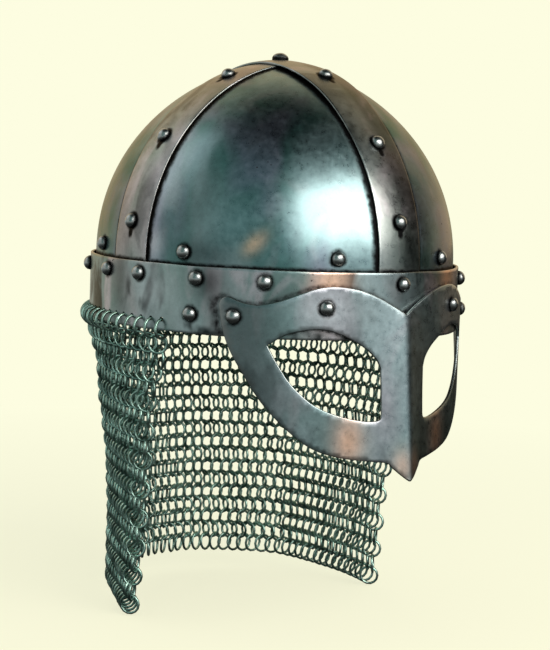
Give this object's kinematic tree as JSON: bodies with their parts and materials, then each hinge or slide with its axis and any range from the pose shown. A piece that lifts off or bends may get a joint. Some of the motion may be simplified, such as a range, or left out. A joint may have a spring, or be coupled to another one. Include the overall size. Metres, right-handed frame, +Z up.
{
  "type": "viking helmet",
  "caption": "Riveted steel helmet: a domed bowl of plates and straps, a brow band, a spectacle guard over eyes and nose, and a mail curtain hung round the sides and neck.",
  "frame": {"origin": "centre of the plane of the brow band's top edge, where the helmet sits on the head", "axes": "+Z up through the crown; -Y the wearer's front, where the guard is; -X the wearer's right"},
  "size_m": [0.2112, 0.2398, 0.3096],
  "materials": {
    "plate_steel": "satin",
    "rivet_steel": "satin",
    "mail_steel": "satin",
    "liner_leather": "matte",
    "lace_leather": "matte"
  },
  "bodies": {
    "helmet": {"plate_front_right": "plate_steel", "plate_front_left": "plate_steel", "plate_back_right": "plate_steel", "plate_back_left": "plate_steel", "strap_front_back": "plate_steel", "strap_side": "plate_steel", "brow_band": "plate_steel", "spectacle_guard": "plate_steel", "rivet_apex": "rivet_steel", "rivets_strap": "rivet_steel", "rivets_band": "rivet_steel", "rivets_side": "rivet_steel", "rivets_guard": "rivet_steel", "rivets_liner": "rivet_steel", "liner_washers": "rivet_steel", "liner": "liner_leather", "liner_lace": "lace_leather", "hanger_rings": "mail_steel", "mail_corner_right": "mail_steel", "mail_corner_left": "mail_steel"},
    "mail_right": {"mail_flap_right": "mail_steel"},
    "mail_left": {"mail_flap_left": "mail_steel"},
    "mail_rear": {"mail_back": "mail_steel"}
  },
  "joints": [
    {"name": "mail_right_sway", "type": "hinge", "parent": "helmet", "child": "mail_right", "pos_m": [-0.09765, 0.02185, -0.042], "axis": [0.1819, 0.9833, 0], "range_deg": [0, 15], "stiffness_Nm_per_rad": 0.15, "springref_deg": -11.46},
    {"name": "mail_left_sway", "type": "hinge", "parent": "helmet", "child": "mail_left", "pos_m": [0.09765, 0.02185, -0.042], "axis": [0.1819, -0.9833, 0], "range_deg": [0, 15], "stiffness_Nm_per_rad": 0.15, "springref_deg": -11.46},
    {"name": "mail_rear_sway", "type": "hinge", "parent": "helmet", "child": "mail_rear", "pos_m": [0, 0.10962, -0.042], "axis": [1, 0, 0], "range_deg": [0, 15], "stiffness_Nm_per_rad": 0.3, "springref_deg": -17.19}
  ]
}
